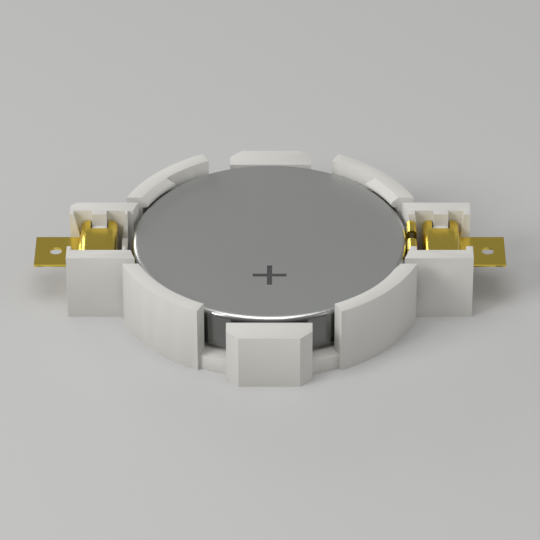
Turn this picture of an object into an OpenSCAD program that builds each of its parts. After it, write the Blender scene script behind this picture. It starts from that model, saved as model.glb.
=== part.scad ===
// Coin cell holder for a round cell, sunk in a cut-out of a circuit board.
// A moulded housing carries the cell in a round pocket. A tower at each end holds a folded
// sheet contact: the positive one curls over the shoulder of the can, and the negative one
// runs under the cell. Both end in flat solder tails that lie on the board.
// Millimetres, +Z up, origin on the cell's axis at the housing's base.

/* [Cell] */
// Diameter of the coin cell
cell_d = 20; // [16:0.5:24]
// Height of the coin cell
cell_h = 3.2; // [2.6:0.1:4.2]
// Radius of the rolled shoulder round the can's top
shoulder_r = 0.46; // [0.3:0.02:0.6]
// Radius of the crimped edge round the can's underside
crimp_r = 0.4; // [0.2:0.05:0.5]
// Diameter of the flat negative cap on the underside
cap_d = 17.7; // [14:0.1:18]
// Height that the cap stands below the crimped edge
cap_step = 0.15; // [0.05:0.05:0.25]
// Radius of the cap's edge
cap_edge_r = 0.12; // [0.05:0.01:0.15]
// Width of the gasket ring between the cap and the can
gasket_w = 0.35; // [0.2:0.05:0.5]
// Depth of the gasket below the crimped edge
gasket_depth = 0.12; // [0.05:0.01:0.2]

/* [Pocket] */
// Gap between the cell and the round pocket wall
pocket_clearance = 0.27; // [0.1:0.01:0.4]
// Thickness of the curved walls
wall_t = 1.05; // [0.8:0.05:1.5]
// Thickness of the floor under the cell
floor_t = 1.15; // [1:0.05:1.6]
// Height of the walls above the top of the cell
wall_rise = 0.75; // [0.6:0.05:1.2]
// Angle from the Y axis to the end of each curved wall
wall_end_angle = 26.5; // [22:0.5:30]
// Distance that the floor's rim lies inside the curved walls' outer face
sill_setback = 0.3; // [0.1:0.05:0.5]
// Diameter of the moulding gate's well in the underside
gate_d = 1.6; // [1:0.1:3]
// Depth of the gate's well
gate_depth = 0.25; // [0.1:0.05:0.5]

/* [Retention lugs] */
// Distance that each lug's nose reaches in from the pocket wall
lug_reach = 0.46; // [0.35:0.01:0.6]
// Radius of each lug's nose
lug_nose_r = 0.28; // [0.2:0.01:0.3]
// Width of each lug along Y
lug_w = 2.6; // [1.5:0.1:3]
// Depth of each lug's flat underside below the top of the cell
lug_bite = 0.12; // [0:0.01:0.15]
// Gap round each lug's core window in the floor
core_gap = 0.05; // [0.02:0.01:0.1]

/* [Stop blocks] */
// Width of the low block at the front and at the back
block_w = 6.04; // [5:0.02:7]
// Depth of each block
block_depth = 1.92; // [1.5:0.02:2.5]
// Gap between the cell and each block's flat inner face
block_clearance = 0.14; // [0.05:0.01:0.25]
// Distance that each block's top lies below the top of the walls
block_drop = 0.96; // [0.5:0.02:1.5]
// Length of each block's outer corner chamfer along X
block_chamfer_x = 0.86; // [0.3:0.02:1.2]
// Length of each block's outer corner chamfer along Y
block_chamfer_y = 0.87; // [0.3:0.01:1.2]

/* [Towers] */
// Width of the cavity that holds each contact
cavity_w = 5.06; // [4.8:0.02:5.4]
// Thickness of each tower's front and back wall
tower_wall = 1.06; // [0.8:0.02:1.2]
// Gap between each tower and the curved walls beside it
slot_w = 0.66; // [0.4:0.02:0.9]
// Thickness of the end wall at the board
end_wall_t = 0.66; // [0.6:0.02:0.9]
// Thickness of the negative tower's end wall at its top
end_top_negative = 0.28; // [0.2:0.02:0.6]
// Thickness of the positive tower's end wall at its top
end_top_positive = 0.48; // [0.2:0.02:0.6]
// Thickness of the partition towards the pocket at its foot
partition_t = 0.5; // [0.4:0.02:0.7]
// Thickness of the partition at its top
partition_top = 0.25; // [0.15:0.01:0.4]
// Depth of the flat recess in front of the negative partition
recess_d = 0.08; // [0.02:0.01:0.12]
// Thickness of the floor under each cavity
cavity_floor = 0.4; // [0.3:0.05:0.5]
// Height of the bridge's underside, over the negative contact
bridge_z = 0.95; // [0.9:0.05:1.1]
// Distance that the bridge's top lies below the board
bridge_drop = 0.1; // [0:0.05:0.5]
// Length along X of the chamfer that marks the negative end
key_x = 0.48; // [0.2:0.02:0.7]
// Length along Y of the chamfer that marks the negative end
key_y = 0.38; // [0.2:0.02:0.7]
// Width of the guide rib on each cavity's back wall
rib_w = 1.07; // [0.8:0.01:1.4]
// Distance that the rib stands out of the wall above the contact
rib_proud = 0.48; // [0.3:0.02:0.6]
// Distance that the rib stands out below the contact
rib_step_proud = 0.73; // [0.65:0.01:0.9]

/* [Contacts] */
// Thickness of the contact sheet
sheet_t = 0.2; // [0.15:0.01:0.24]
// Height of the board's upper face, on which the solder tails lie
board_z = 3.1; // [2.9:0.05:3.3]
// Width of each solder tail
tail_w = 3.54; // [3:0.02:3.8]
// Length of each solder tail outside its tower
tail_l = 2.46; // [2:0.02:4]
// Gap on each side of a tail in the end wall
tail_clearance = 0.28; // [0.1:0.02:0.3]
// Diameter of the hole in each tail
tail_hole_d = 0.9; // [0.6:0.05:1.2]
// Distance from the negative tail's end to its hole
hole_inset_negative = 1.5; // [1:0.05:1.7]
// Distance from the positive tail's end to its hole
hole_inset_positive = 1.25; // [1:0.05:1.7]
// Length of the saddle between the outer faces of its legs
saddle_l = 2.66; // [2.4:0.02:3.2]
// Distance that the saddle's top lies below the tower's top
saddle_drop = 0.8; // [0.7:0.02:1.1]
// Gap between the saddle and each cavity wall
saddle_side_gap = 0.08; // [0.04:0.01:0.15]
// Gap between the saddle's legs and the walls beyond them
leg_gap = 0.15; // [0.1:0.01:0.2]
// Gap between the inner leg and the partition
inner_gap = 0.3; // [0.2:0.02:0.4]
// Radius of the bend between each tail and its leg, at mid sheet
foot_bend = 0.25; // [0.2:0.01:0.3]
// Radius of the saddle's two shoulders, at mid sheet
saddle_bend = 0.4; // [0.25:0.05:0.5]
// Gap round the guide rib in the saddle's notch
notch_gap = 0.11; // [0.05:0.01:0.2]
// Depth of the notch in the saddle's rear edge
notch_depth = 1.02; // [0.9:0.02:1.2]
// Gap between the two spring fingers of each contact
finger_gap = 0.94; // [0.6:0.02:1.2]
// Gap between a contact's lowest bend and the cavity's floor
bend_gap = 0.1; // [0.05:0.01:0.15]
// Radius of the rolled end of the positive fingers, at mid sheet
curl_r = 0.275; // [0.24:0.005:0.35]
// Angle through which the positive fingers' end is rolled
curl_angle = 235; // [200:5:260]
// Angle above level at which the rolled end meets the can's shoulder
meet_angle = 35; // [25:1:50]
// Gap left between each contact and the cell
touch_gap = 0.02; // [0.01:0.01:0.05]
// Distance from the cell's axis to the crown of the negative tongues
crown_x = 4; // [2:0.5:6]
// Radius of the crown of the negative tongues, at mid sheet
crown_r = 1.2; // [0.6:0.1:2]
// Length of the negative tongues past their crown
tongue_tip = 0.9; // [0.6:0.1:1.2]
// Angle at which the tips of the negative tongues turn down
tip_angle = 12; // [8:1:20]
// Gap between the tongues and the end of their slot in the floor
slot_end_gap = 0.4; // [0.2:0.05:0.8]

/* [Hidden] */
$fn = 96;
past = 1; // how far a cut runs past the face that it opens
arc_step = 15; // degrees between the stations along a bend

cell_r = cell_d / 2;
cell_top = floor_t + cell_h;
pocket_r = cell_r + pocket_clearance;
outer_r = pocket_r + wall_t;
top_z = cell_top + wall_rise;
tower_half = cavity_w / 2 + tower_wall;
arc_y = tower_half + slot_w;
opening_w = tail_w + 2 * tail_clearance;

// Distances from the cell's axis along X, from the pocket outwards
tower_root = pocket_r - wall_t;
partition_out = pocket_r + partition_t;
saddle_in = partition_out + inner_gap;
saddle_out = saddle_in + saddle_l;
cavity_out = saddle_out + leg_gap;
tower_end = cavity_out + end_wall_t;
tail_end = tower_end + tail_l;

// Heights and centre lines of the contact sheet
tail_mid_z = board_z + sheet_t / 2;
saddle_mid_z = top_z - saddle_drop - sheet_t / 2;
low_mid_z = cavity_floor + bend_gap + sheet_t / 2;
leg_out_x = saddle_out - sheet_t / 2;
leg_in_x = saddle_in + sheet_t / 2;
saddle_w = cavity_w - 2 * saddle_side_gap;
rib_x = (saddle_in + saddle_out) / 2;

// The rolled end touches the can's shoulder along meet_angle
curl_outer_r = curl_r + sheet_t / 2;
curl_reach = shoulder_r + curl_outer_r + touch_gap;
curl_x = cell_r - shoulder_r + curl_reach * cos(meet_angle);
curl_z = cell_top - shoulder_r + curl_reach * sin(meet_angle);
stem_x = curl_x + curl_r;
hairpin_r = (leg_in_x - stem_x) / 2;

// The tongues rise from the low bend to a crown just under the cap
tongue_bend = 0.4;
tongue_rise = floor_t - touch_gap - sheet_t / 2 - low_mid_z;
tongue_run = leg_in_x - tongue_bend - crown_x;
lift_angle = atan(tongue_rise / tongue_run);
slot_end_x = crown_x - tongue_tip - slot_end_gap;

HOUSING_COLOUR = [0.86, 0.85, 0.81];
GOLD_COLOUR = [0.80, 0.66, 0.28];
STEEL_COLOUR = [0.62, 0.63, 0.62];

// ---------- Housing ----------

// A rounded ring wall cut to the quarter that x >= y * tan(angle) and y >= arc_y leave
module curved_wall() {
    reach = 2 * outer_r;
    intersection() {
        difference() {
            cylinder(r = outer_r, h = top_z);
            translate([0, 0, -past]) cylinder(r = pocket_r, h = top_z + 2 * past);
        }
        linear_extrude(top_z)
            polygon([
                [arc_y * tan(wall_end_angle), arc_y],
                [reach, arc_y],
                [reach, reach / tan(wall_end_angle)],
            ]);
    }
}

// One lug: a ramp from the wall's top edge down to a round nose over the cell
module lug_profile() {
    nose = [pocket_r - lug_reach + lug_nose_r, cell_top - lug_bite + lug_nose_r];
    edge = [pocket_r, top_z];
    gap = edge - nose;
    tangent = atan2(gap[1], gap[0]) + acos(lug_nose_r / norm(gap));
    root = pocket_r + wall_t / 2;
    translate(nose) circle(r = lug_nose_r);
    polygon([
        nose,
        nose - [0, lug_nose_r],
        [root, nose[1] - lug_nose_r],
        [root, top_z],
        edge,
        nose + lug_nose_r * [cos(tangent), sin(tangent)],
    ]);
}

module lugs() {
    intersection() {
        rotate_extrude() lug_profile();
        for (side = [-1, 1])
            translate([0, side * (arc_y + lug_w / 2), top_z / 2])
                cube([2 * outer_r, lug_w, 2 * top_z], center = true);
    }
}

// Openings in the floor through which the mould forms the lugs' undersides
module core_windows() {
    intersection() {
        difference() {
            translate([0, 0, -past]) cylinder(r = pocket_r, h = floor_t + 2 * past);
            translate([0, 0, -2 * past])
                cylinder(r = pocket_r - lug_reach - core_gap, h = floor_t + 4 * past);
        }
        for (side = [-1, 1])
            translate([0, side * (arc_y + lug_w / 2), 0])
                cube([2 * outer_r, lug_w, 2 * (floor_t + past)], center = true);
    }
}

module stop_block() {
    inner = cell_r + block_clearance;
    outer = inner + block_depth;
    half = block_w / 2;
    linear_extrude(top_z - block_drop)
        polygon([
            [-half, inner],
            [half, inner],
            [half, outer - block_chamfer_y],
            [half - block_chamfer_x, outer],
            [block_chamfer_x - half, outer],
            [-half, outer - block_chamfer_y],
        ]);
}

// Solid tower on the +X side; a key chamfer of [x, y] takes off its rear outer corner
module tower_body(key) {
    linear_extrude(top_z)
        polygon([
            [tower_root, -tower_half],
            [tower_end, -tower_half],
            [tower_end, tower_half - key[1]],
            [tower_end - key[0], tower_half],
            [tower_root, tower_half],
        ]);
}

// Tapered cavity on the +X side, with the way out for the tail over the board
module cavity_cut(end_top) {
    rotate([90, 0, 0])
        linear_extrude(cavity_w, center = true)
            polygon([
                [partition_out, cavity_floor],
                [cavity_out, cavity_floor],
                [cavity_out, board_z + sheet_t],
                [tower_end - end_top, top_z],
                [tower_end - end_top, top_z + past],
                [pocket_r + partition_top, top_z + past],
                [pocket_r + partition_top, top_z],
                [partition_out, board_z],
            ]);
    translate([rib_x, -opening_w / 2, board_z])
        cube([tower_end - rib_x + past, opening_w, top_z]);
}

// Rib on the cavity's back wall, thicker below the saddle
module guide_rib() {
    step_z = saddle_mid_z - sheet_t / 2 - notch_gap / 2;
    back = tower_half - tower_wall / 2;
    wall = cavity_w / 2;
    translate([rib_x - rib_w / 2, wall - rib_proud, cavity_floor / 2])
        cube([rib_w, back - wall + rib_proud, top_z - cavity_floor / 2]);
    translate([rib_x - rib_w / 2, wall - rib_step_proud, cavity_floor / 2])
        cube([rib_w, back - wall + rib_step_proud, step_z - cavity_floor / 2]);
}

// The positive fingers reach from the cavity to the cell through this opening
module finger_opening() {
    start = pocket_r + touch_gap;
    translate([start, -opening_w / 2, cavity_floor])
        cube([rib_x - start, opening_w, top_z]);
    translate([cell_r - wall_t, -opening_w / 2, floor_t])
        cube([rib_x - cell_r, opening_w, top_z]);
}

// The negative contact passes under a bridge, and its tongues lie in a slot in the floor
module tongue_passage() {
    front = pocket_r + recess_d;
    translate([front, -opening_w / 2, cavity_floor])
        cube([rib_x - front, opening_w, bridge_z - cavity_floor]);
    translate([front - past, -opening_w / 2, board_z - bridge_drop])
        cube([rib_x - front + past, opening_w, top_z]);
    translate([tower_root, -cavity_w / 2, floor_t])
        cube([front - tower_root, cavity_w, top_z]);
    translate([slot_end_x, -opening_w / 2, -past])
        cube([front - slot_end_x, opening_w, floor_t + 2 * past]);
}

module housing() {
    color(HOUSING_COLOUR) {
        difference() {
            union() {
                cylinder(r = outer_r - sill_setback, h = floor_t);
                for (x = [0, 1], y = [0, 1]) mirror([x, 0, 0]) mirror([0, y, 0]) curved_wall();
                tower_body([0, 0]);
                mirror([1, 0, 0]) tower_body([key_x, key_y]);
            }
            translate([0, 0, floor_t]) cylinder(r = pocket_r, h = top_z);
            translate([0, 0, -past]) cylinder(d = gate_d, h = gate_depth + past);
            core_windows();
            cavity_cut(end_top_positive);
            finger_opening();
            mirror([1, 0, 0]) {
                cavity_cut(end_top_negative);
                tongue_passage();
            }
        }
        lugs();
        for (x = [0, 1]) mirror([x, 0, 0]) guide_rib();
        for (y = [0, 1]) mirror([0, y, 0]) stop_block();
    }
}

// ---------- Contacts ----------

// A route is a list of [straight length, turn in degrees, bend radius] from a start
// [x, z, heading]. along() gives the stations of the sheet's centre line.
function ahead(at, length) =
    [at[0] + length * cos(at[2]), at[1] + length * sin(at[2]), at[2]];

function bent(at, turn, radius) =
    let (
        side = sign(turn),
        cx = at[0] - side * radius * sin(at[2]),
        cz = at[1] + side * radius * cos(at[2]),
        to = at[2] + turn
    )
    [cx + side * radius * sin(to), cz - side * radius * cos(to), to];

function along(at, route, i = 0) =
    i == len(route) ? [at] :
    let (
        run = ahead(at, route[i][0]),
        turn = route[i][1],
        radius = route[i][2],
        steps = max(1, round(abs(turn) / arc_step)),
        arc = turn == 0 ? [] : [for (s = [1:steps]) bent(run, turn * s / steps, radius)],
        last = turn == 0 ? run : arc[steps - 1]
    )
    concat([at], turn == 0 ? [] : [run], [for (s = [0:1:len(arc) - 2]) arc[s]],
        along(last, route, i + 1));

// Outline of the sheet: the stations moved half a thickness to each side
function edge_of(stations, offset) =
    [for (at = stations) [at[0] - offset * sin(at[2]), at[1] + offset * cos(at[2])]];

module sheet(stations, width) {
    left = edge_of(stations, sheet_t / 2);
    right = edge_of(stations, -sheet_t / 2);
    count = len(right);
    rotate([90, 0, 0])
        linear_extrude(width, center = true)
            polygon(concat(left, [for (i = [1:count]) right[count - i]]));
}

// Tail, outer leg, saddle and inner leg down to low_z, the same for both contacts
function saddle_route(low_z) = [
    [tail_end - leg_out_x - foot_bend, -90, foot_bend],
    [saddle_mid_z - tail_mid_z - foot_bend - saddle_bend, 90, saddle_bend],
    [leg_out_x - leg_in_x - 2 * saddle_bend, 90, saddle_bend],
    [saddle_mid_z - saddle_bend - low_z, 0, 0],
];

// Cuts the full-width sheet to its plan: a wide saddle, narrow tail and legs, two fingers
module contact_plan(stations, hole_inset) {
    finger_end = leg_in_x - sheet_t;
    difference() {
        intersection() {
            sheet(stations, saddle_w);
            union() {
                translate([0, -tail_w / 2, 0]) cube([tail_end + past, tail_w, top_z]);
                translate([finger_end, -saddle_w / 2, board_z])
                    cube([leg_out_x + foot_bend - finger_end, saddle_w, top_z]);
            }
        }
        translate([0, -finger_gap / 2, 0]) cube([finger_end, finger_gap, top_z]);
        translate([rib_x - rib_w / 2 - notch_gap, saddle_w / 2 - notch_depth, board_z])
            cube([rib_w + 2 * notch_gap, notch_depth + past, top_z]);
        translate([tail_end - hole_inset, 0, board_z - past])
            cylinder(d = tail_hole_d, h = sheet_t + 2 * past);
    }
}

module positive_contact() {
    start = [tail_end, tail_mid_z, 180];
    hairpin_z = low_mid_z + hairpin_r;
    route = concat(saddle_route(hairpin_z), [
        [0, -180, hairpin_r],
        [curl_z - hairpin_z, curl_angle, curl_r],
    ]);
    color(GOLD_COLOUR) contact_plan(along(start, route), hole_inset_positive);
}

module negative_contact() {
    start = [tail_end, tail_mid_z, 180];
    route = concat(saddle_route(low_mid_z + tongue_bend), [
        [0, -90 - lift_angle, tongue_bend],
        [tongue_run / cos(lift_angle) - crown_r * tan(lift_angle), lift_angle + tip_angle, crown_r],
        [tongue_tip - crown_r * sin(tip_angle), 0, 0],
    ]);
    color(GOLD_COLOUR)
        mirror([1, 0, 0]) contact_plan(along(start, route), hole_inset_negative);
}

// ---------- Cell ----------

module cell_profile() {
    cap_r = cap_d / 2;
    lip_r = cap_r + gasket_w;
    difference() {
        union() {
            square([cell_r - shoulder_r, cell_h]);
            translate([0, cap_step + crimp_r])
                square([cell_r, cell_h - cap_step - crimp_r - shoulder_r]);
            translate([0, cap_step]) square([cell_r - crimp_r, crimp_r]);
            translate([cell_r - shoulder_r, cell_h - shoulder_r]) circle(r = shoulder_r);
            translate([cell_r - crimp_r, cap_step + crimp_r]) circle(r = crimp_r);
        }
        translate([cap_r, -past]) square([gasket_w, cap_step + gasket_depth + past]);
        translate([lip_r, -past]) square([cell_r - lip_r + past, cap_step + past]);
        translate([cap_r - cap_edge_r, 0]) difference() {
            translate([0, -past]) square([cap_edge_r + past, cap_edge_r + past]);
            translate([0, cap_edge_r]) circle(r = cap_edge_r);
        }
    }
}

module coin_cell() {
    color(STEEL_COLOUR) translate([0, 0, floor_t]) rotate_extrude() cell_profile();
}

housing();
positive_contact();
negative_contact();
coin_cell();
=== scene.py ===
"""Looks of a coin cell holder.

An off-white moulding carries a steel coin cell between two gold-plated sheet contacts.
Lengths in the classes are millimetres, in the holder's own frame: the origin is on the
cell's axis at the underside, +X runs to the positive contact and +Z is up. Every mesh is
turned into metres as it is made.
"""

import logging
import math
from dataclasses import dataclass, field
from enum import Enum

import bmesh
import bpy
from mathutils import Matrix, Vector

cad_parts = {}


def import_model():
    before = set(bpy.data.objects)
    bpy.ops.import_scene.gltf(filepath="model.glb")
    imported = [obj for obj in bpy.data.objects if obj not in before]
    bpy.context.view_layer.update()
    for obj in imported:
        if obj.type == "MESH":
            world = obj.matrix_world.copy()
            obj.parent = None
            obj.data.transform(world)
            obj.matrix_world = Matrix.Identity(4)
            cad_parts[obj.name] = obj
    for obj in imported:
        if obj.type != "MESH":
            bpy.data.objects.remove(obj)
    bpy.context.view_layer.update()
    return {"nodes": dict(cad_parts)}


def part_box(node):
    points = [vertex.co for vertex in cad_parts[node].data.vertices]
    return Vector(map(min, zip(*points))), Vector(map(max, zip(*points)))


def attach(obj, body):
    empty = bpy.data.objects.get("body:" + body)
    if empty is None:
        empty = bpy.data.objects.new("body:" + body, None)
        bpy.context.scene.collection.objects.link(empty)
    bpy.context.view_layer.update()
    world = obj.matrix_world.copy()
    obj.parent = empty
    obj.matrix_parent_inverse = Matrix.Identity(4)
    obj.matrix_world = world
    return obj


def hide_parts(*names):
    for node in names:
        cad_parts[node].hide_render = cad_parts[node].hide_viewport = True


LOG = logging.getLogger("coin_cell_holder")
MM = 0.001
ROOT = "root"
WELD = 0.0005 * MM

Sockets = dict[str, bpy.types.NodeSocket]


class End(Enum):
    """The two ends of the holder, each with the sign of its side along X."""

    NEGATIVE = -1.0
    POSITIVE = 1.0


# ---------- Node trees ----------


class NodeTree:
    """Builds a node tree one node at a time."""

    def __init__(self, tree: bpy.types.NodeTree) -> None:
        """Keeps the tree that the nodes go into.

        Args:
            tree: A shader or Geometry Nodes tree.
        """
        self.tree = tree

    def feed(self, socket: bpy.types.NodeSocket, value: object) -> None:
        """Links or sets one input.

        Args:
            socket: The input.
            value: Another node's output, or the value to set.
        """
        if isinstance(value, bpy.types.NodeSocket):
            self.tree.links.new(value, socket)
        else:
            socket.default_value = value

    def node(
        self, kind: str, inputs: dict | None = None, **settings: object
    ) -> bpy.types.Node:
        """Adds one node.

        Args:
            kind: The node's type name.
            inputs: Values or outputs for its inputs, by name or by place.
            **settings: The node's own properties.

        Returns:
            The new node.
        """
        made = self.tree.nodes.new(kind)
        for name, value in settings.items():
            setattr(made, name, value)
        for key, value in (inputs or {}).items():
            self.feed(made.inputs[key], value)
        return made

    def math(self, operation: str, *values: object) -> bpy.types.NodeSocket:
        """Adds a Math node and returns its output."""
        kind = "ShaderNodeMath"
        inputs = dict(enumerate(values))
        return self.node(kind, inputs, operation=operation).outputs[0]

    def ramp(
        self,
        value: bpy.types.NodeSocket,
        low: float,
        high: float,
        to_low: float = 0.0,
        to_high: float = 1.0,
    ) -> bpy.types.NodeSocket:
        """Maps a value smoothly from one range to another.

        Args:
            value: The value to map.
            low: Where the change starts.
            high: Where the change ends.
            to_low: Result up to low.
            to_high: Result from high.

        Returns:
            The mapped value.
        """
        inputs = {0: value, 1: low, 2: high, 3: to_low, 4: to_high}
        made = self.node("ShaderNodeMapRange", inputs, interpolation_type="SMOOTHSTEP")
        return made.outputs[0]


class GeometryTree(NodeTree):
    """A Geometry Nodes tree with named inputs."""

    def __init__(self, name: str) -> None:
        """Makes an empty tree with a geometry input and output.

        Args:
            name: The tree's name.
        """
        super().__init__(bpy.data.node_groups.new(name, "GeometryNodeTree"))
        for way in ("INPUT", "OUTPUT"):
            self.tree.interface.new_socket(
                name="Geometry", in_out=way, socket_type="NodeSocketGeometry"
            )
        self.source = self.tree.nodes.new("NodeGroupInput")
        self.result = self.tree.nodes.new("NodeGroupOutput")

    def size(self, name: str, kind: str = "NodeSocketFloat") -> bpy.types.NodeSocket:
        """Adds a named input and returns its output on the group's input node."""
        self.tree.interface.new_socket(name=name, in_out="INPUT", socket_type=kind)
        return self.source.outputs[name]

    def box(
        self, size: tuple[object, ...], place: tuple[object, ...]
    ) -> bpy.types.NodeSocket:
        """Adds a box.

        Args:
            size: Its three lengths, each a number or an output.
            place: Its centre, each a number or an output.

        Returns:
            The box's mesh.
        """
        lengths = self.node("ShaderNodeCombineXYZ", dict(enumerate(size)))
        centre = self.node("ShaderNodeCombineXYZ", dict(enumerate(place)))
        cube = self.node("GeometryNodeMeshCube", {"Size": lengths.outputs[0]})
        inputs = {"Geometry": cube.outputs["Mesh"], "Translation": centre.outputs[0]}
        return self.node("GeometryNodeTransform", inputs).outputs[0]

    def less(
        self, body: bpy.types.NodeSocket, cutters: list[bpy.types.NodeSocket]
    ) -> bpy.types.NodeSocket:
        """Cuts shapes out of a mesh.

        Args:
            body: The mesh.
            cutters: The meshes to take away.

        Returns:
            What is left.
        """
        settings = {"operation": "DIFFERENCE", "solver": "MANIFOLD"}
        cut = self.node("GeometryNodeMeshBoolean", **settings)
        self.tree.links.new(body, cut.inputs["Mesh 1"])
        for cutter in cutters:
            self.tree.links.new(cutter, cut.inputs["Mesh 2"])
        return cut.outputs["Mesh"]

    def shaded(self, mesh: bpy.types.NodeSocket, angle: float) -> bpy.types.NodeSocket:
        """Shades a mesh smooth and keeps the edges above an angle sharp.

        Args:
            mesh: The mesh.
            angle: The least angle of a sharp edge, in degrees.

        Returns:
            The shaded mesh.
        """
        smooth = self.node("GeometryNodeSetShadeSmooth", {"Geometry": mesh})
        bend = self.node("GeometryNodeInputMeshEdgeAngle").outputs["Unsigned Angle"]
        inputs = {
            "Geometry": smooth.outputs[0],
            "Selection": self.math("GREATER_THAN", bend, math.radians(angle)),
            "Shade Smooth": False,
        }
        kind = "GeometryNodeSetShadeSmooth"
        return self.node(kind, inputs, domain="EDGE").outputs[0]

    def finish(
        self, mesh: bpy.types.NodeSocket, material: bpy.types.Material
    ) -> bpy.types.NodeSocket:
        """Ends the tree with real geometry and its main material.

        Args:
            mesh: The finished shape.
            material: The material of every face.

        Returns:
            The output, for any further materials.
        """
        real = self.node("GeometryNodeRealizeInstances", {"Geometry": mesh})
        inputs = {"Geometry": real.outputs[0], "Material": material}
        return self.node("GeometryNodeSetMaterial", inputs).outputs[0]

    def end(self, mesh: bpy.types.NodeSocket) -> None:
        """Links a mesh to the tree's output."""
        self.tree.links.new(mesh, self.result.inputs["Geometry"])

    def grow(
        self, name: str, seed: bpy.types.Mesh, sizes: dict[str, object]
    ) -> bpy.types.Object:
        """Runs the tree on a starting mesh and keeps the plain mesh that comes out.

        Args:
            name: The new piece's name.
            seed: The mesh that the tree starts from.
            sizes: The value of each named input.

        Returns:
            The finished piece, with no modifier left on it.
        """
        host = bpy.data.objects.new(name + "_seed", seed)
        bpy.context.scene.collection.objects.link(host)
        modifier = host.modifiers.new("grow", "NODES")
        modifier.node_group = self.tree
        for item in self.tree.interface.items_tree:
            if item.in_out == "INPUT" and item.name in sizes:
                modifier[item.identifier] = sizes[item.name]
        graph = bpy.context.evaluated_depsgraph_get()
        mesh = bpy.data.meshes.new_from_object(host.evaluated_get(graph))
        bpy.data.objects.remove(host)
        piece = bpy.data.objects.new(name, mesh)
        bpy.context.scene.collection.objects.link(piece)
        return piece


# ---------- Finishes ----------


def surface_grain() -> bpy.types.ShaderNodeTree:
    """Builds the shader group that gives each finish its fine grain and slow drift.

    Returns:
        The group, with a tint and a roughness that vary and a height for a bump.
    """
    name = "surface grain"
    if name in bpy.data.node_groups:
        return bpy.data.node_groups[name]
    group = bpy.data.node_groups.new(name, "ShaderNodeTree")
    sockets = (
        ("Tint", "INPUT", "NodeSocketColor"),
        ("Tint Drift", "INPUT", "NodeSocketFloat"),
        ("Roughness", "INPUT", "NodeSocketFloat"),
        ("Roughness Drift", "INPUT", "NodeSocketFloat"),
        ("Grain Size", "INPUT", "NodeSocketFloat"),
        ("Drift Size", "INPUT", "NodeSocketFloat"),
        ("Tint", "OUTPUT", "NodeSocketColor"),
        ("Roughness", "OUTPUT", "NodeSocketFloat"),
        ("Height", "OUTPUT", "NodeSocketFloat"),
    )
    for label, way, kind in sockets:
        group.interface.new_socket(name=label, in_out=way, socket_type=kind)
    tree = NodeTree(group)
    given = tree.node("NodeGroupInput").outputs
    place = tree.node("ShaderNodeTexCoord").outputs["Object"]
    noises = []
    for size, detail in (("Grain Size", 3.0), ("Drift Size", 2.0)):
        inputs = {
            "Vector": place,
            "Scale": tree.math("DIVIDE", 1.0, given[size]),
            "Detail": detail,
        }
        noises.append(tree.node("ShaderNodeTexNoise", inputs).outputs["Fac"])
    fine, slow = noises
    swing = tree.math("SUBTRACT", tree.math("ADD", fine, slow), 1.0)
    value = tree.math("MULTIPLY_ADD", swing, given["Tint Drift"], 1.0)
    inputs = {"Color": given["Tint"], "Value": value}
    tint = tree.node("ShaderNodeHueSaturation", inputs)
    rough = tree.math("MULTIPLY_ADD", swing, given["Roughness Drift"], given["Roughness"])
    out = {"Tint": tint.outputs[0], "Roughness": rough, "Height": fine}
    tree.node("NodeGroupOutput", out)
    return group


class FinishTree(NodeTree):
    """A material's tree, with the grain group placed in it."""

    def __init__(self, name: str) -> None:
        """Makes a material with an empty Principled shader.

        Args:
            name: The material's name.
        """
        self.material = bpy.data.materials.new(name)
        self.material.use_nodes = True
        super().__init__(self.material.node_tree)
        self.shader = self.tree.nodes["Principled BSDF"].inputs

    def grain(self, **values: object) -> bpy.types.Node:
        """Places the grain group, with its inputs given as words joined by underscores."""
        made = self.node("ShaderNodeGroup", node_tree=surface_grain())
        for name, value in values.items():
            self.feed(made.inputs[name.replace("_", " ").title()], value)
        return made

    def bump(
        self, height: bpy.types.NodeSocket, depth: float, strength: float
    ) -> bpy.types.NodeSocket:
        """Turns a height into a normal.

        Args:
            height: The height, from 0 to 1.
            depth: What a height of 1 stands for, in millimetres.
            strength: How much of the bump shows.

        Returns:
            The normal.
        """
        inputs = {"Height": height, "Distance": depth * MM, "Strength": strength}
        return self.node("ShaderNodeBump", inputs).outputs[0]


@dataclass(frozen=True)
class MouldedPlastic:
    """Off-white heat-proof plastic with the mould's fine spark texture."""

    tint: tuple[float, float, float, float] = (0.66, 0.65, 0.615, 1.0)
    tint_drift: float = 0.035
    roughness: float = 0.55
    roughness_drift: float = 0.10
    grain: float = 0.10
    drift: float = 4.0
    texture_depth: float = 0.006

    def material(self) -> bpy.types.Material:
        """Builds the housing's material."""
        tree = FinishTree("moulded_plastic")
        grain = tree.grain(
            tint=self.tint,
            tint_drift=self.tint_drift,
            roughness=self.roughness,
            roughness_drift=self.roughness_drift,
            grain_size=self.grain * MM,
            drift_size=self.drift * MM,
        )
        tree.feed(tree.shader["Base Color"], grain.outputs["Tint"])
        tree.feed(tree.shader["Roughness"], grain.outputs["Roughness"])
        tree.feed(tree.shader["Specular IOR Level"], 0.35)
        normal = tree.bump(grain.outputs["Height"], self.texture_depth, 0.5)
        tree.feed(tree.shader["Normal"], normal)
        return tree.material


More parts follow.
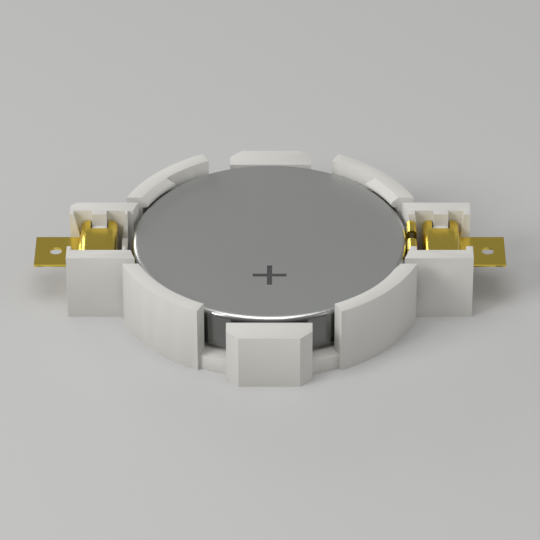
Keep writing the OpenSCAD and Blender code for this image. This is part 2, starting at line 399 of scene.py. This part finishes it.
@dataclass(frozen=True)
class GoldPlate:
    """Gold plate on rolled sheet, with faint rolling lines along X."""

    tint: tuple[float, float, float, float] = (0.88, 0.67, 0.112, 1.0)
    tint_drift: float = 0.025
    roughness: float = 0.26
    roughness_drift: float = 0.03
    grain: float = 0.06
    drift: float = 1.5
    line_depth: float = 0.0015

    def material(self) -> bpy.types.Material:
        """Builds the contacts' material."""
        tree = FinishTree("gold_plate")
        grain = tree.grain(
            tint=self.tint,
            tint_drift=self.tint_drift,
            roughness=self.roughness,
            roughness_drift=self.roughness_drift,
            grain_size=self.grain * MM,
            drift_size=self.drift * MM,
        )
        place = tree.node("ShaderNodeTexCoord").outputs["Object"]
        stretch = (0.08 / MM, 9.0 / MM, 0.5 / MM)
        spread = tree.node("ShaderNodeMapping", {"Vector": place, "Scale": stretch})
        inputs = {"Vector": spread.outputs[0], "Scale": 1.0, "Detail": 4.0}
        lines = tree.node("ShaderNodeTexNoise", inputs).outputs["Fac"]
        tree.feed(tree.shader["Base Color"], grain.outputs["Tint"])
        tree.feed(tree.shader["Roughness"], grain.outputs["Roughness"])
        tree.feed(tree.shader["Metallic"], 1.0)
        tree.feed(tree.shader["Normal"], tree.bump(lines, self.line_depth, 0.4))
        return tree.material


@dataclass(frozen=True)
class CellSteel:
    """Nickel-plated steel: matt flat face, bright rolled shoulder, painted shade on the
    side.
    """

    tint: tuple[float, float, float, float] = (0.555, 0.565, 0.55, 1.0)
    tint_drift: float = 0.02
    flat_roughness: float = 0.50
    side_roughness: float = 0.20
    # How dark the painted shade on the can's side gets, as a share of the tint.
    painted_side_shade: float = 0.38
    grain: float = 0.05
    drift: float = 6.0
    grain_depth: float = 0.0010

    def material(
        self, flat_radius: float, side_radius: float, can_radius: float
    ) -> bpy.types.Material:
        """Builds the can's material.

        Args:
            flat_radius: Radius of the flat face, in millimetres.
            side_radius: Radius where the bright finish is full and the painted shade
                begins.
            can_radius: Radius of the can's side, where the painted shade is darkest.

        Returns:
            The material.
        """
        tree = FinishTree("cell_steel")
        place = tree.node("ShaderNodeTexCoord").outputs["Object"]
        across = tree.node("ShaderNodeVectorMath", {0: place, 1: (1.0, 1.0, 0.0)})
        across.operation = "MULTIPLY"
        length = tree.node("ShaderNodeVectorMath", {0: across.outputs[0]})
        length.operation = "LENGTH"
        roughness = tree.ramp(
            length.outputs["Value"],
            flat_radius * MM,
            side_radius * MM,
            self.flat_roughness,
            self.side_roughness,
        )
        # Painted shade: the tint darkens from the shoulder out to the can's side, standing
        # in for the dark surroundings that the side reflects.
        painted_shade = tree.ramp(
            length.outputs["Value"],
            side_radius * MM,
            can_radius * MM,
            1.0,
            self.painted_side_shade,
        )
        inputs = {"Color": self.tint, "Value": painted_shade}
        grain = tree.grain(
            tint=tree.node("ShaderNodeHueSaturation", inputs).outputs[0],
            tint_drift=self.tint_drift,
            roughness=roughness,
            roughness_drift=0.03,
            grain_size=self.grain * MM,
            drift_size=self.drift * MM,
        )
        tree.feed(tree.shader["Base Color"], grain.outputs["Tint"])
        tree.feed(tree.shader["Roughness"], grain.outputs["Roughness"])
        tree.feed(tree.shader["Metallic"], 1.0)
        normal = tree.bump(grain.outputs["Height"], self.grain_depth, 0.3)
        tree.feed(tree.shader["Normal"], normal)
        return tree.material


@dataclass(frozen=True)
class PlainFinish:
    """A dull finish for small hidden or sunk faces: the gasket and the sunk mark."""

    name: str
    tint: tuple[float, float, float, float]
    roughness: float
    metallic: float = 0.0

    def material(self) -> bpy.types.Material:
        """Builds the material."""
        tree = FinishTree(self.name)
        grain = tree.grain(
            tint=self.tint,
            tint_drift=0.08,
            roughness=self.roughness,
            roughness_drift=0.05,
            grain_size=0.05 * MM,
            drift_size=0.8 * MM,
        )
        tree.feed(tree.shader["Base Color"], grain.outputs["Tint"])
        tree.feed(tree.shader["Roughness"], grain.outputs["Roughness"])
        tree.feed(tree.shader["Metallic"], self.metallic)
        return tree.material


# ---------- Pieces ----------


def polyline(name: str, points: list[tuple[float, float]]) -> bpy.types.Mesh:
    """Makes a mesh of one open chain of edges in the XZ plane.

    Args:
        name: The mesh's name.
        points: The chain's points, in millimetres.

    Returns:
        The mesh, in metres.
    """
    mesh = bpy.data.meshes.new(name)
    places = [(x * MM, 0.0, z * MM) for x, z in points]
    edges = [(i, i + 1) for i in range(len(points) - 1)]
    mesh.from_pydata(places, edges, [])
    return mesh


def seat(piece: bpy.types.Object, node: str) -> None:
    """Puts a finished piece in its CAD node's place.

    Args:
        piece: The finished piece.
        node: The CAD node that it stands for.
    """
    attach(piece, ROOT)
    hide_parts(node)
    low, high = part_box(node)
    LOG.info(
        "%s: %d faces for %s, %.2f mm long",
        piece.name,
        len(piece.data.polygons),
        node,
        (high[0] - low[0]) / MM,
    )


@dataclass
class Housing:
    """The moulding, with the small radius that its mould leaves on every edge."""

    node: str = "housing"
    edge_radius: float = 0.05
    sharp_angle: float = 32.0
    flat_angle: float = 0.5
    finish: MouldedPlastic = field(default_factory=MouldedPlastic)

    def body(self, solid: bpy.types.Object) -> bpy.types.Object:
        """Copies the solid, joins its loose faces and rounds its edges.

        Args:
            solid: The CAD node's object.

        Returns:
            The finished moulding.
        """
        mesh = solid.data.copy()
        mesh.materials.clear()
        shape = bmesh.new()
        shape.from_mesh(mesh)
        bmesh.ops.remove_doubles(shape, verts=shape.verts, dist=WELD)
        bmesh.ops.dissolve_limit(
            shape,
            angle_limit=math.radians(self.flat_angle),
            verts=shape.verts,
            edges=shape.edges,
        )
        shape.to_mesh(mesh)
        shape.free()
        mesh.shade_smooth()
        piece = bpy.data.objects.new("moulded_housing", mesh)
        bpy.context.scene.collection.objects.link(piece)
        bevel = piece.modifiers.new("edge radius", "BEVEL")
        bevel.width = self.edge_radius * MM
        bevel.segments = 2
        bevel.limit_method = "ANGLE"
        bevel.angle_limit = math.radians(self.sharp_angle)
        bevel.harden_normals = True
        mesh.materials.append(self.finish.material())
        return piece

    def build(self, nodes: dict[str, bpy.types.Object]) -> None:
        """Builds the moulding and seats it on its CAD node."""
        seat(self.body(nodes[self.node]), self.node)


@dataclass
class SheetRoute:
    """The centre line of a folded strip, followed from its tail in the XZ plane."""

    x: float
    z: float
    heading: float
    step: float = 7.5
    station: float = 1.0
    points: list[tuple[float, float]] = field(default_factory=list)

    def __post_init__(self) -> None:
        """Starts the line at its first point."""
        self.points.append((self.x, self.z))

    def ahead(self, length: float) -> None:
        """Goes straight on for a length, with a station every millimetre or less."""
        steps = max(1, math.ceil(length / self.station))
        for _ in range(steps):
            self.x += length / steps * math.cos(math.radians(self.heading))
            self.z += length / steps * math.sin(math.radians(self.heading))
            self.points.append((self.x, self.z))

    def bend(self, turn: float, radius: float) -> None:
        """Turns round a bend.

        Args:
            turn: The angle in degrees, positive to the left of the heading.
            radius: The bend's radius at mid sheet.
        """
        side = math.copysign(1.0, turn)
        start = math.radians(self.heading)
        middle = (
            self.x - side * radius * math.sin(start),
            self.z + side * radius * math.cos(start),
        )
        steps = max(1, round(abs(turn) / self.step))
        for count in range(1, steps + 1):
            now = start + math.radians(turn) * count / steps
            self.x = middle[0] + side * radius * math.sin(now)
            self.z = middle[1] - side * radius * math.cos(now)
            self.points.append((self.x, self.z))
        self.heading += turn


@dataclass
class SpringContact:
    """A contact folded from one strip: tail, saddle, legs and two spring fingers."""

    end: End
    node: str
    hole_inset: float
    thickness: float = 0.2
    tail_end: float = 17.0
    tail_z: float = 3.2
    tail_width: float = 3.54
    saddle_width: float = 4.9
    saddle_z: float = 4.2
    saddle_bend: float = 0.4
    foot_bend: float = 0.25
    outer_leg: float = 13.63
    inner_leg: float = 11.17
    board_z: float = 3.1
    finger_gap: float = 0.94
    finger_root: float = 10.97
    notch_middle: float = 12.4
    notch_width: float = 1.29
    notch_depth: float = 1.02
    hole_diameter: float = 0.9
    low_z: float = 0.6
    cut_past: float = 1.0
    cut_reach: float = 4.0
    hole_facets: int = 48
    drill_sheets: float = 6.0
    sharp_angle: float = 40.0
    finish: GoldPlate = field(default_factory=GoldPlate)

    def saddle(self, low_z: float) -> SheetRoute:
        """Follows the tail, the outer leg, the saddle and the inner leg.

        Args:
            low_z: Height where the inner leg ends.

        Returns:
            The route so far.
        """
        route = SheetRoute(self.tail_end, self.tail_z, 180.0)
        route.ahead(self.tail_end - self.outer_leg - self.foot_bend)
        route.bend(-90.0, self.foot_bend)
        route.ahead(self.saddle_z - self.tail_z - self.foot_bend - self.saddle_bend)
        route.bend(90.0, self.saddle_bend)
        route.ahead(self.outer_leg - self.inner_leg - 2 * self.saddle_bend)
        route.bend(90.0, self.saddle_bend)
        route.ahead(self.saddle_z - self.saddle_bend - low_z)
        return route

    def spring(self) -> SheetRoute:
        """Follows the whole strip to the end of its springs."""
        raise NotImplementedError

    def sizes(self) -> dict[str, float]:
        """Lists the named inputs of the contact's tree, in millimetres.

        Returns:
            Each input's value.
        """
        return {
            "Sheet": self.thickness,
            "Wide": self.saddle_width,
            "Narrow": self.tail_width,
            "Finger Root": self.finger_root,
            "Foot": self.outer_leg + self.foot_bend,
            "Far End": self.tail_end + self.cut_past,
            "Board": self.board_z,
            "Reach": self.cut_reach,
            "Finger Gap": self.finger_gap,
            "Notch Middle": self.notch_middle,
            "Notch Width": self.notch_width,
            "Notch Depth": self.notch_depth,
            "Hole": self.hole_diameter,
            "Hole Middle": self.tail_end - self.hole_inset,
        }

    @staticmethod
    def swept(tree: GeometryTree, size: Sockets) -> bpy.types.NodeSocket:
        """Sweeps the sheet's section along the line that the tree starts from.

        Args:
            tree: The contact's tree.
            size: The tree's named inputs.

        Returns:
            The folded strip, as wide as the saddle all along.
        """
        line = tree.node("GeometryNodeMeshToCurve", {0: tree.source.outputs[0]})
        inputs = {"Width": size["Wide"], "Height": size["Sheet"]}
        section = tree.node("GeometryNodeCurvePrimitiveQuadrilateral", inputs)
        inputs = {
            "Curve": line.outputs[0],
            "Profile Curve": section.outputs[0],
            "Fill Caps": True,
        }
        strip = tree.node("GeometryNodeCurveToMesh", inputs).outputs[0]
        return tree.node("GeometryNodeFlipFaces", {0: strip}).outputs[0]

    @staticmethod
    def plan_cuts(tree: GeometryTree, size: Sockets) -> list[bpy.types.NodeSocket]:
        """Makes the boxes that narrow the tail, the legs and the springs.

        Args:
            tree: The contact's tree.
            size: The tree's named inputs.

        Returns:
            The boxes, and last the one that parts the two fingers.
        """
        board, reach, root = size["Board"], size["Reach"], size["Finger Root"]
        high = tree.math("MULTIPLY", reach, 2.0)
        low_z = tree.math("SUBTRACT", board, reach)
        side_y = tree.math("ADD", tree.math("MULTIPLY", size["Narrow"], 0.5), reach)
        tail = tree.math("SUBTRACT", size["Far End"], size["Foot"])
        both = tree.math("ADD", size["Far End"], size["Foot"])
        tail_x = tree.math("MULTIPLY", both, 0.5)
        root_x = tree.math("MULTIPLY", root, 0.5)
        cuts = []
        for way in (1.0, -1.0):
            y = tree.math("MULTIPLY", side_y, way)
            cuts.append(tree.box((tail, high, high), (tail_x, y, board)))
            cuts.append(tree.box((root, high, high), (root_x, y, board)))
            cuts.append(tree.box((high, high, high), (size["Notch Middle"], y, low_z)))
        gap = (root, size["Finger Gap"], high)
        return cuts + [tree.box(gap, (root_x, 0.0, board))]

    def small_cuts(
        self, tree: GeometryTree, size: Sockets
    ) -> list[bpy.types.NodeSocket]:
        """Makes the notch round the housing's rib and the drill for the tail's hole.

        Args:
            tree: The contact's tree.
            size: The tree's named inputs.

        Returns:
            The notch's box and the drill.
        """
        reach, board = size["Reach"], size["Board"]
        deep = tree.math("MULTIPLY", size["Notch Depth"], 2.0)
        rear = tree.math("MULTIPLY", size["Wide"], 0.5)
        above = tree.math("MULTIPLY_ADD", reach, 0.5, board)
        notch = tree.box(
            (size["Notch Width"], deep, reach), (size["Notch Middle"], rear, above)
        )
        inputs = {
            "Vertices": self.hole_facets,
            "Radius": tree.math("MULTIPLY", size["Hole"], 0.5),
            "Depth": tree.math("MULTIPLY", size["Sheet"], self.drill_sheets),
        }
        drill = tree.node("GeometryNodeMeshCylinder", inputs)
        place = tree.node("ShaderNodeCombineXYZ", {0: size["Hole Middle"], 2: board})
        inputs = {"Geometry": drill.outputs["Mesh"], "Translation": place.outputs[0]}
        return [notch, tree.node("GeometryNodeTransform", inputs).outputs[0]]

    def tree(self, material: bpy.types.Material) -> GeometryTree:
        """Builds the tree that sweeps the strip and cuts it to its plan.

        Args:
            material: The plate's material.

        Returns:
            The tree.
        """
        tree = GeometryTree("folded strip")
        size = {name: tree.size(name) for name in self.sizes()}
        strip = self.swept(tree, size)
        for cut in self.plan_cuts(tree, size) + self.small_cuts(tree, size):
            strip = tree.less(strip, [cut])
        tree.end(tree.finish(tree.shaded(strip, self.sharp_angle), material))
        return tree

    def body(self) -> bpy.types.Object:
        """Sweeps the strip, and mirrors it if it belongs to the negative end.

        Returns:
            The finished contact.
        """
        seed = polyline(self.node + "_line", self.spring().points)
        name = self.end.name.lower() + "_spring_contact"
        metres = {key: value * MM for key, value in self.sizes().items()}
        piece = self.tree(self.finish.material()).grow(name, seed, metres)
        shape = bmesh.new()
        shape.from_mesh(piece.data)
        bmesh.ops.scale(shape, vec=(self.end.value, 1.0, 1.0), verts=shape.verts)
        bmesh.ops.remove_doubles(shape, verts=shape.verts, dist=WELD)
        bmesh.ops.recalc_face_normals(shape, faces=shape.faces)
        shape.to_mesh(piece.data)
        shape.free()
        weight = piece.modifiers.new("flat faces stay flat", "WEIGHTED_NORMAL")
        weight.keep_sharp = True
        return piece

    def build(self) -> None:
        """Builds the contact and seats it on its CAD node."""
        seat(self.body(), self.node)


@dataclass
class CurledContact(SpringContact):
    """The positive contact, whose fingers curl over the can's shoulder."""

    curl_x: float = 10.24
    curl_z: float = 4.38
    curl_radius: float = 0.275
    curl_turn: float = 235.0

    def spring(self) -> SheetRoute:
        """Follows the strip round its hairpin and up into the curl."""
        stem = self.curl_x + self.curl_radius
        hairpin = (self.inner_leg - stem) / 2
        low_z = self.low_z + hairpin
        route = self.saddle(low_z)
        route.bend(-180.0, hairpin)
        route.ahead(self.curl_z - low_z)
        route.bend(self.curl_turn, self.curl_radius)
        return route


@dataclass
class TongueContact(SpringContact):
    """The negative contact, whose tongues bow up under the cell."""

    tongue_bend: float = 0.4
    crown_x: float = 4.0
    crown_z: float = 1.03
    crown_radius: float = 1.2
    tip: float = 0.9
    tip_turn: float = 12.0

    def spring(self) -> SheetRoute:
        """Follows the strip under the partition and along its tongues."""
        run = self.inner_leg - self.tongue_bend - self.crown_x
        lift = math.degrees(math.atan((self.crown_z - self.low_z) / run))
        route = self.saddle(self.low_z + self.tongue_bend)
        route.bend(-90.0 - lift, self.tongue_bend)
        length = run / math.cos(math.radians(lift))
        route.ahead(length - self.crown_radius * math.tan(math.radians(lift)))
        route.bend(lift + self.tip_turn, self.crown_radius)
        route.ahead(self.tip - self.crown_radius * math.sin(math.radians(self.tip_turn)))
        return route


@dataclass
class CoinCell:
    """The sealed cell, turned from its section, with a plus sunk in the positive face."""

    node: str = "coin_cell"
    base: float = 1.15
    radius: float = 10.0
    height: float = 3.2
    shoulder: float = 0.46
    crimp: float = 0.4
    cap_radius: float = 8.85
    cap_step: float = 0.15
    cap_edge: float = 0.12
    gasket_width: float = 0.35
    gasket_depth: float = 0.12
    mark_span: float = 2.4
    mark_stroke: float = 0.36
    mark_depth: float = 0.04
    mark_y: float = -4.6
    turns: int = 192
    level_slack: float = 0.01
    sharp_angle: float = 30.0
    steel: CellSteel = field(default_factory=CellSteel)
    gasket: PlainFinish = PlainFinish("gasket_nylon", (0.04, 0.04, 0.045, 1.0), 0.6)
    mark: PlainFinish = PlainFinish("sunk_mark", (0.10, 0.10, 0.10, 1.0), 0.6, 0.5)

    @staticmethod
    def arc(
        x: float, z: float, radius: float, start: float, stop: float, steps: int
    ) -> list[tuple[float, float]]:
        """Returns the points of an arc, with its angles in degrees from +X."""
        angles = [
            math.radians(start + (stop - start) * i / steps) for i in range(steps + 1)
        ]
        return [(x + radius * math.cos(a), z + radius * math.sin(a)) for a in angles]

    def section(self) -> list[tuple[float, float]]:
        """Lists the section from the middle of the top to the middle of the underside."""
        top = self.base + self.height
        rim = self.base + self.cap_step
        flat = self.radius - self.shoulder
        lip = self.cap_radius + self.gasket_width
        groove = rim + self.gasket_depth
        points = [(0.0, top), (flat * 0.5, top), (flat - 0.3, top), (flat - 0.02, top)]
        points += self.arc(flat, top - self.shoulder, self.shoulder, 90.0, 0.0, 16)
        crimp = (self.radius - self.crimp, rim + self.crimp)
        points += self.arc(*crimp, self.crimp, 0.0, -90.0, 12)
        points += [(lip, rim), (lip, groove), (self.cap_radius, groove)]
        cap = (self.cap_radius - self.cap_edge, self.base + self.cap_edge)
        points += self.arc(*cap, self.cap_edge, 0.0, -90.0, 6)
        points += [(self.cap_radius * 0.5, self.base), (0.0, self.base)]
        return points

    def sizes(self) -> dict[str, float]:
        """Lists the named lengths of the cell's tree, in millimetres.

        Returns:
            Each length.
        """
        return {
            "Top": self.base + self.height,
            "Groove": self.base + self.cap_step + self.gasket_depth,
            "Mark Span": self.mark_span,
            "Mark Stroke": self.mark_stroke,
            "Mark Depth": self.mark_depth,
            "Mark Place": self.mark_y,
            "Gasket Inside": self.cap_radius,
            "Gasket Outside": self.cap_radius + self.gasket_width,
        }

    @staticmethod
    def turned(
        tree: GeometryTree, turns: bpy.types.NodeSocket
    ) -> bpy.types.NodeSocket:
        """Turns the section round the Z axis.

        Args:
            tree: The cell's tree.
            turns: How many facets go round.

        Returns:
            The closed can.
        """
        section = tree.source.outputs["Geometry"]
        count = tree.node("GeometryNodeAttributeDomainSize", {0: section}).outputs[0]
        inputs = {"Vertices X": tree.math("ADD", turns, 1.0), "Vertices Y": count}
        grid = tree.node("GeometryNodeMeshGrid", inputs).outputs["Mesh"]
        index = tree.node("GeometryNodeInputIndex").outputs[0]
        turn = tree.math("FLOOR", tree.math("DIVIDE", index, count))
        inputs = {
            "Geometry": section,
            "Value": tree.node("GeometryNodeInputPosition").outputs[0],
            "Index": tree.math("MODULO", index, count),
        }
        kind = "GeometryNodeSampleIndex"
        at = tree.node(kind, inputs, data_type="FLOAT_VECTOR").outputs[0]
        radius, _, height = tree.node("ShaderNodeSeparateXYZ", {0: at}).outputs
        angle = tree.math("MULTIPLY", tree.math("DIVIDE", turn, turns), math.tau)
        inputs = {
            0: tree.math("MULTIPLY", radius, tree.math("COSINE", angle)),
            1: tree.math("MULTIPLY", radius, tree.math("SINE", angle)),
            2: height,
        }
        place = tree.node("ShaderNodeCombineXYZ", inputs).outputs[0]
        wound = tree.node("GeometryNodeSetPosition", {0: grid, "Position": place})
        inputs = {"Geometry": wound.outputs[0], "Distance": WELD}
        return tree.node("GeometryNodeMergeByDistance", inputs).outputs[0]

    @staticmethod
    def marked(
        tree: GeometryTree, can: bpy.types.NodeSocket, size: Sockets
    ) -> bpy.types.NodeSocket:
        """Sinks the plus in the positive face.

        Args:
            tree: The cell's tree.
            can: The closed can.
            size: The tree's named lengths.

        Returns:
            The can with the plus in it.
        """
        sunk = tree.math("MULTIPLY", size["Mark Depth"], 2.0)
        span, stroke = size["Mark Span"], size["Mark Stroke"]
        for bar in ((span, stroke, sunk), (stroke, span, sunk)):
            place = (0.0, size["Mark Place"], size["Top"])
            can = tree.less(can, [tree.box(bar, place)])
        return can

    def dressed(
        self, tree: GeometryTree, can: bpy.types.NodeSocket, size: Sockets
    ) -> bpy.types.NodeSocket:
        """Gives the plus and the gasket their own finishes.

        Args:
            tree: The cell's tree.
            can: The can, all in steel.
            size: The tree's named lengths.

        Returns:
            The finished cell.
        """
        here = tree.node("GeometryNodeInputPosition").outputs[0]
        x, y, z = tree.node("ShaderNodeSeparateXYZ", {0: here}).outputs
        square = tree.math("MULTIPLY_ADD", x, x, tree.math("MULTIPLY", y, y))
        radius = tree.math("SQRT", square)
        inside = tree.math("LESS_THAN", radius, size["Gasket Inside"])
        depth = size["Mark Depth"]
        under = tree.math("MULTIPLY_ADD", depth, -0.25, size["Top"])
        over = tree.math("MULTIPLY_ADD", depth, -2.0, size["Top"])
        sunk = tree.math(
            "MULTIPLY",
            tree.math("LESS_THAN", z, under),
            tree.math("GREATER_THAN", z, over),
        )
        ring = tree.math(
            "MULTIPLY",
            tree.math("GREATER_THAN", radius, size["Gasket Inside"]),
            tree.math("LESS_THAN", radius, size["Gasket Outside"]),
        )
        level = tree.math("COMPARE", z, size["Groove"], self.level_slack * MM)
        for chosen, finish in (
            (tree.math("MULTIPLY", sunk, inside), self.mark),
            (tree.math("MULTIPLY", ring, level), self.gasket),
        ):
            inputs = {0: can, "Selection": chosen, "Material": finish.material()}
            can = tree.node("GeometryNodeSetMaterial", inputs).outputs[0]
        return can

    def tree(self) -> GeometryTree:
        """Builds the tree that turns the section, sinks the plus and finishes the cell.

        Returns:
            The tree.
        """
        tree = GeometryTree("turned cell")
        turns = tree.size("Turns", "NodeSocketInt")
        size = {name: tree.size(name) for name in self.sizes()}
        can = self.marked(tree, self.turned(tree, turns), size)
        steel = self.steel.material(
            self.radius - self.shoulder,
            self.radius - self.shoulder / 3,
            self.radius - self.shoulder / 50,
        )
        steeled = tree.finish(tree.shaded(can, self.sharp_angle), steel)
        tree.end(self.dressed(tree, steeled, size))
        return tree

    def build(self) -> None:
        """Turns the cell and seats it on its CAD node."""
        sizes = {key: value * MM for key, value in self.sizes().items()}
        sizes["Turns"] = self.turns
        seed = polyline(self.node + "_section", self.section())
        piece = self.tree().grow("turned_cell", seed, sizes)
        shape = bmesh.new()
        shape.from_mesh(piece.data)
        bmesh.ops.recalc_face_normals(shape, faces=shape.faces)
        shape.to_mesh(piece.data)
        shape.free()
        seat(piece, self.node)


# ---------- Studio ----------


@dataclass(frozen=True)
class SoftBox:
    """One square soft light, aimed at the holder. Places are in millimetres."""

    name: str
    place: tuple[float, float, float]
    side: float
    watts: float
    tint: tuple[float, float, float] = (1.0, 1.0, 1.0)

    def light(self) -> None:
        """Hangs the light."""
        data = bpy.data.lights.new(self.name, "AREA")
        data.shape = "SQUARE"
        data.size = self.side * MM
        data.energy = self.watts
        data.color = self.tint
        lamp = bpy.data.objects.new(self.name, data)
        bpy.context.scene.collection.objects.link(lamp)
        lamp.location = Vector(self.place) * MM
        lamp.rotation_mode = "QUATERNION"
        lamp.rotation_quaternion = lamp.location.to_track_quat("Z", "Y")


@dataclass
class Studio:
    """The floor, the soft lights and the camera."""

    floor_side: float = 3000.0
    floor_tint: tuple[float, float, float, float] = (0.54, 0.54, 0.535, 1.0)
    sky_tint: tuple[float, float, float, float] = (1.0, 1.0, 1.0, 1.0)
    sky_strength: float = 0.26
    camera_place: tuple[float, float, float] = (1.414, -211.52, 147.88)
    yaw: float = -0.61
    pitch: float = -34.86
    roll: float = -0.34
    lens: float = 236.0
    shift: tuple[float, float] = (0.0212, 0.0225)
    lights: tuple[SoftBox, ...] = (
        SoftBox("key", (-240.0, -140.0, 190.0), 140.0, 0.55),
        SoftBox("overhead", (-20.0, -60.0, 380.0), 260.0, 0.52),
        SoftBox("fill", (260.0, -120.0, 160.0), 200.0, 0.14),
        SoftBox("back", (-190.0, 320.0, 110.0), 120.0, 0.22),
    )

    def floor(self) -> None:
        """Lays the floor at the holder's underside."""
        half = self.floor_side / 2 * MM
        mesh = bpy.data.meshes.new("floor")
        corners = [(-half, -half, 0), (half, -half, 0), (half, half, 0), (-half, half, 0)]
        mesh.from_pydata(corners, [], [(0, 1, 2, 3)])
        tree = FinishTree("pale_floor")
        tree.feed(tree.shader["Base Color"], self.floor_tint)
        tree.feed(tree.shader["Roughness"], 0.7)
        mesh.materials.append(tree.material)
        plane = bpy.data.objects.new("floor", mesh)
        bpy.context.scene.collection.objects.link(plane)

    def sky(self) -> None:
        """Fills the room with even light."""
        world = bpy.data.worlds.new("studio")
        world.use_nodes = True
        back = world.node_tree.nodes["Background"].inputs
        back["Color"].default_value = self.sky_tint
        back["Strength"].default_value = self.sky_strength
        bpy.context.scene.world = world
        bpy.context.scene.view_settings.view_transform = "Standard"

    def camera(self) -> None:
        """Sets up the camera."""
        data = bpy.data.cameras.new("camera")
        data.lens = self.lens
        data.sensor_width = 36.0
        data.shift_x, data.shift_y = self.shift
        data.clip_start, data.clip_end = 0.01, 10.0
        camera = bpy.data.objects.new("camera", data)
        bpy.context.scene.collection.objects.link(camera)
        camera.location = Vector(self.camera_place) * MM
        yaw, pitch, roll = (math.radians(a) for a in (self.yaw, self.pitch, self.roll))
        cos, sin = math.cos, math.sin
        ahead = Vector((sin(yaw) * cos(pitch), cos(yaw) * cos(pitch), sin(pitch)))
        right = Vector((cos(yaw), -sin(yaw), 0.0))
        up = right.cross(ahead)
        across = right * cos(roll) + up * sin(roll)
        camera.rotation_euler = Matrix(
            (across, up * cos(roll) - right * sin(roll), -ahead)
        ).transposed().to_euler()
        bpy.context.scene.camera = camera

    def build(self) -> None:
        """Sets the whole studio up."""
        self.floor()
        self.sky()
        for box in self.lights:
            box.light()
        self.camera()


def main() -> None:
    """Loads the frame, dresses every node and sets up the studio."""
    logging.basicConfig(level=logging.INFO, format="%(name)s: %(message)s")
    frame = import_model()
    Studio().build()
    Housing().build(frame["nodes"])
    CurledContact(End.POSITIVE, "positive_contact", 1.25).build()
    TongueContact(End.NEGATIVE, "negative_contact", 1.5).build()
    CoinCell().build()


if __name__ == "__main__":
    main()
